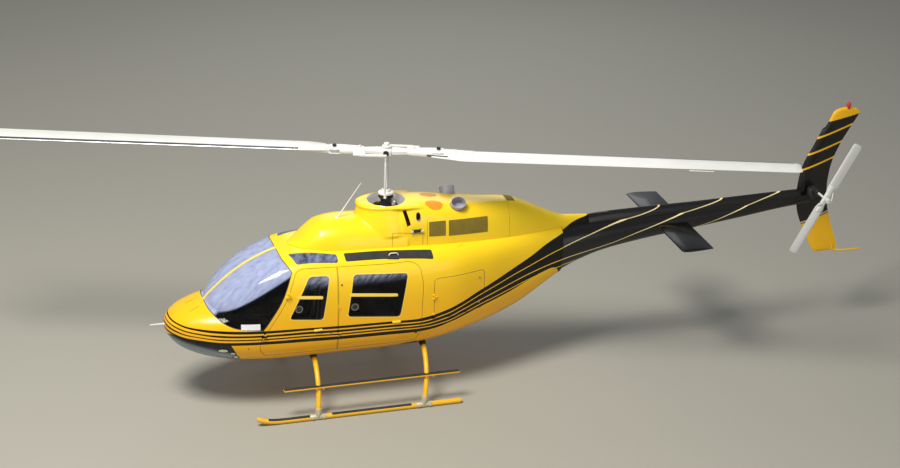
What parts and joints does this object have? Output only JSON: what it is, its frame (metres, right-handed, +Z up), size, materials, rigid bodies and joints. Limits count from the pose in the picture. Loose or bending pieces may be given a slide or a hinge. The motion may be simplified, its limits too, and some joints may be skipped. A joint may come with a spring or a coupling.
{
  "type": "light utility helicopter",
  "caption": "Light turbine helicopter on skids: bubble cabin with hinged side doors, engine cowl, long tail boom with fin and stabilizer, teetering main rotor and side tail rotor.",
  "frame": {"origin": "on the ground, under the middle of the whole aircraft with its rotor parked", "axes": "+X aft from the nose to the tail, +Y to starboard, +Z up"},
  "size_m": [11.5184, 3.7242, 3.205],
  "materials": {
    "yellow_metal": "gloss yellow paint over aluminium skin",
    "yellow_fibreglass": "gloss yellow paint over fibreglass cowling",
    "black_metal": "gloss black paint over aluminium skin",
    "black_fibreglass": "gloss black paint over a light hollow panel",
    "white_metal": "satin white paint",
    "bare_metal": "satin bare metal",
    "engine_metal": "heat stained metal",
    "windshield_glass": "clear acrylic with a faint blue reflection",
    "chin_glass": "grey blue acrylic",
    "window_glass": "lightly tinted acrylic",
    "seat_fabric": "dark woven seat covers",
    "dark_plastic": "matt black moulded panel",
    "floor_lining": "ribbed grey floor lining"
  },
  "bodies": {
    "airframe": {"nose_shell": "yellow_metal", "belly_pan": "yellow_metal", "cabin_floor": "floor_lining", "roof_panel": "yellow_metal", "windshield_post_left": "yellow_metal", "windshield_post_right": "yellow_metal", "door_post_left": "yellow_metal", "door_post_right": "yellow_metal", "windshield_left": "windshield_glass", "chin_window_left": "chin_glass", "skylight_left": "window_glass", "windshield_right": "windshield_glass", "chin_window_right": "chin_glass", "skylight_right": "window_glass", "aft_fuselage": "yellow_metal", "mast_fairing": "yellow_fibreglass", "engine_cowl": "yellow_fibreglass", "stabilizer": "black_fibreglass", "fin": "black_fibreglass", "tail_boom": "black_metal", "shaft_cover": "black_fibreglass", "tail_skid": "yellow_metal", "tail_gearbox": "bare_metal", "mast_opening_ring": "bare_metal", "transmission": "engine_metal", "engine": "engine_metal", "cross_tube_front": "yellow_metal", "cross_tube_rear": "yellow_metal", "skid_left": "yellow_metal", "step_left": "yellow_metal", "skid_right": "yellow_metal", "step_right": "yellow_metal", "front_seat_left": "seat_fabric", "front_seat_right": "seat_fabric", "rear_bench": "seat_fabric", "instrument_console": "dark_plastic", "whip_antenna": "white_metal", "pitot_tube": "white_metal"},
    "main_rotor": {"mast": "bare_metal", "main_rotor_hub": "bare_metal", "main_blade_a": "white_metal", "main_blade_b": "white_metal", "rotating_swashplate": "bare_metal"},
    "tail_rotor_assembly": {"tail_rotor": "white_metal"},
    "door_front_left": {"front_door_left": "yellow_metal", "front_window_left": "window_glass"},
    "door_front_right": {"front_door_right": "yellow_metal", "front_window_right": "window_glass"},
    "door_rear_left": {"rear_door_left": "yellow_metal", "rear_window_left": "window_glass"},
    "door_rear_right": {"rear_door_right": "yellow_metal", "rear_window_right": "window_glass"},
    "door_baggage": {"baggage_door": "yellow_metal"}
  },
  "joints": [
    {"name": "main_rotor_turn", "type": "hinge", "parent": "airframe", "child": "main_rotor", "pos_m": [-0.92899, 0, 3.1], "axis": [0, 0, 1], "continuous": true},
    {"name": "tail_rotor_turn", "type": "hinge", "parent": "airframe", "child": "tail_rotor_assembly", "pos_m": [4.95101, -0.34, 2.04], "axis": [0, 1, 0], "continuous": true},
    {"name": "front_left_hinge", "type": "hinge", "parent": "airframe", "child": "door_front_left", "pos_m": [-2.62699, -0.662, 1.04], "axis": [-0.5031, 0.0123, -0.8642], "range_deg": [0, 75]},
    {"name": "front_right_hinge", "type": "hinge", "parent": "airframe", "child": "door_front_right", "pos_m": [-2.62699, 0.662, 1.04], "axis": [0.5031, 0.0123, 0.8642], "range_deg": [0, 75]},
    {"name": "rear_left_hinge", "type": "hinge", "parent": "airframe", "child": "door_rear_left", "pos_m": [-1.69299, -0.668, 1.22], "axis": [0, 0, -1], "range_deg": [0, 80]},
    {"name": "rear_right_hinge", "type": "hinge", "parent": "airframe", "child": "door_rear_right", "pos_m": [-1.69299, 0.668, 1.22], "axis": [0, 0, 1], "range_deg": [0, 80]},
    {"name": "baggage_hinge", "type": "hinge", "parent": "airframe", "child": "door_baggage", "pos_m": [-0.45999, -0.654, 1.32], "axis": [0, 0, -1], "range_deg": [0, 80]}
  ]
}
